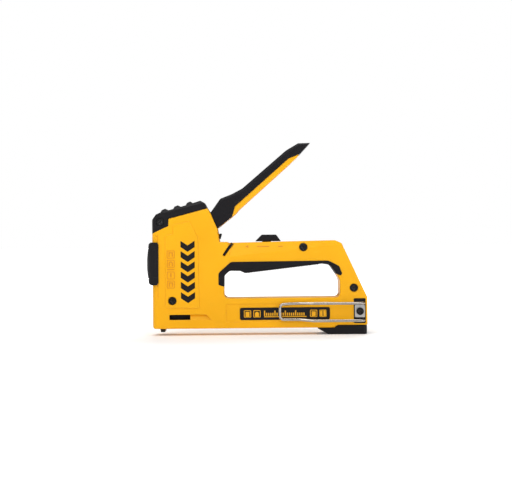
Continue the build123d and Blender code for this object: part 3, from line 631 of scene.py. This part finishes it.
def add_head_icons():
    """Raised outlines beside the selector: which fastener it is set for. Their darker amber colour is painted
    shade, standing in for the shading of the relief.
    """
    for name, side in SIDES:
        face = side * PANEL_FACE
        low, high = sorted((face - side * 0.1, face + side * 0.30))
        bm = bmesh.new()
        for z0, z1, kind in HEAD_ICONS:
            head_icon(bm, HEAD_ICON_X, z0, z1, kind, low, high)
        bar = (HEAD_ICON_X - 3.3, HEAD_DASH_Z - 0.35, HEAD_ICON_X + 3.3, HEAD_DASH_Z + 0.35)
        prism(bm, box_outline(*bar, 0.3), low, high)
        # darker amber colour: painted shade of the raised outlines
        piece("head_icons_" + name, bm, PRINTS_AND_PAINTED_SHADE["amber"], "body", bevel=0.06)


# ---- moulded details ----
RIB_X = (-9.2, 56.0)
RIB_PITCH = 1.45
RIB_HALF = 15.2          # half width of the ribs across the tool
INSERT_EDGE = ((-10.7, 55.7), (58.5, 63.6))


def add_grip_ribs():
    """Fine cross ribs along the underside of the rubber insert."""
    (xa, za), (xb, zb) = INSERT_EDGE
    slope = (zb - za) / (xb - xa)
    bm = bmesh.new()
    x = RIB_X[0]
    while x <= RIB_X[1]:
        z = za + (x - xa) * slope
        rib = [
            (x - 0.62, z + 0.35), (x - 0.34, z - 0.30), (x, z - 0.42), (x + 0.34, z - 0.30),
            (x + 0.62, z + 0.35),
        ]
        prism(bm, rib, -RIB_HALF, RIB_HALF)
        x += RIB_PITCH
    piece("grip_ribs", bm, FINISHES["rubber_grip"], "body", bevel=0.12)


FACET_FRONT = (-24.2, 70.8)
FACET_REAR = (76.0, 80.6)
FACET_LEAN = 5.4 / 16.0


def facet_face(x, z):
    """Distance from the middle of the handle's slanted side facet."""
    slope = (FACET_REAR[1] - FACET_FRONT[1]) / (FACET_REAR[0] - FACET_FRONT[0])
    rise = (z - FACET_FRONT[1] - (x - FACET_FRONT[0]) * slope) * math.cos(math.atan(slope))
    return HEAD_FACE - max(0.0, rise) * FACET_LEAN


def facet_prism(bm, outline, side, sink, proud):
    """Side-view outline as a thin solid that follows the slanted facet."""
    rings = [
        [bm.verts.new(spot(x, side * (facet_face(x, z) + offset), z)) for x, z in outline]
        for offset in (-sink, proud)
    ]
    bm.faces.new(rings[0])
    bm.faces.new(list(reversed(rings[1])))
    for i in range(len(outline)):
        j = (i + 1) % len(outline)
        bm.faces.new((rings[0][j], rings[0][i], rings[1][i], rings[1][j]))


LOCK_MARK_Z = 79.6
LOCK_BARS = ((0.4, 11.6), (19.2, 23.6))


def add_lock_marks():
    """Raised arrow and bars beside the lever lock, coloured darker amber as painted shade of the relief."""
    z = LOCK_MARK_Z
    for name, side in SIDES:
        bm = bmesh.new()
        facet_prism(bm, [(-10.2, z), (-7.4, z + 1.3), (-7.4, z - 1.3)], side, 0.2, 0.2)
        for x0, x1 in LOCK_BARS:
            facet_prism(bm, box_outline(x0, z - 0.45, x1, z + 0.45, 0.4), side, 0.2, 0.2)
        # darker amber colour: painted shade of the raised arrow and bars
        piece("lock_marks_" + name, bm, PRINTS_AND_PAINTED_SHADE["amber"], "body", bevel=0.06)


# ---- floor ----
FLOOR_RADIUS = 14.0
FLOOR_GLOW = (0.25, 1.0, 0.10, 0.85)    # near and far distance in metres, and the glow at each


def add_floor():
    """Plain white floor that glows a little, more so away from the tool, to hide its horizon."""
    f = Finish("floor", specular=0.2)
    shade = f.blend(f.spread(f.noise(3.0), 0.3, 0.7), (0.93, 0.93, 0.93), (0.95, 0.95, 0.95))
    f.shader.inputs["Emission Color"].default_value = (1.0, 1.0, 1.0, 1.0)
    away = f.node("ShaderNodeVectorMath", operation="LENGTH")
    f.feed(away.inputs[0], f.place)
    f.feed(f.shader.inputs["Emission Strength"], f.spread(away.outputs["Value"], *FLOOR_GLOW))
    material = f.finish(shade, f.spread(f.noise(8.0), 0.3, 0.7, 0.75, 0.85), (f.noise(400.0), 0.02, 0.1))
    bm = bmesh.new()
    bmesh.ops.create_circle(bm, cap_ends=True, radius=FLOOR_RADIUS, segments=96)
    mesh = bpy.data.meshes.new("floor")
    bm.to_mesh(mesh)
    bm.free()
    floor = bpy.data.objects.new("floor", mesh)
    mesh.materials.append(material)
    bpy.context.scene.collection.objects.link(floor)


bpy.context.scene.view_settings.view_transform = "Standard"
add_camera()
add_world()
add_light("key", (-0.7, -1.3, 1.2), (0, 0, 0.08), 1.1, 10.0)
add_light("top", (-0.1, -0.35, 1.3), (0, 0, 0.08), 0.9, 7.0)
add_light("fill", (1.1, -1.2, 0.5), (0, 0, 0.08), 1.0, 6.5)
add_light("back", (0.2, 1.3, 1.3), (0, 0, 0.08), 1.2, 17.0)
add_floor()
finish_cad()
add_main_spring()
add_pusher_spring()
add_staples()
add_labels()
add_head_marks()
add_head_icons()
add_grip_ribs()
add_lock_marks()
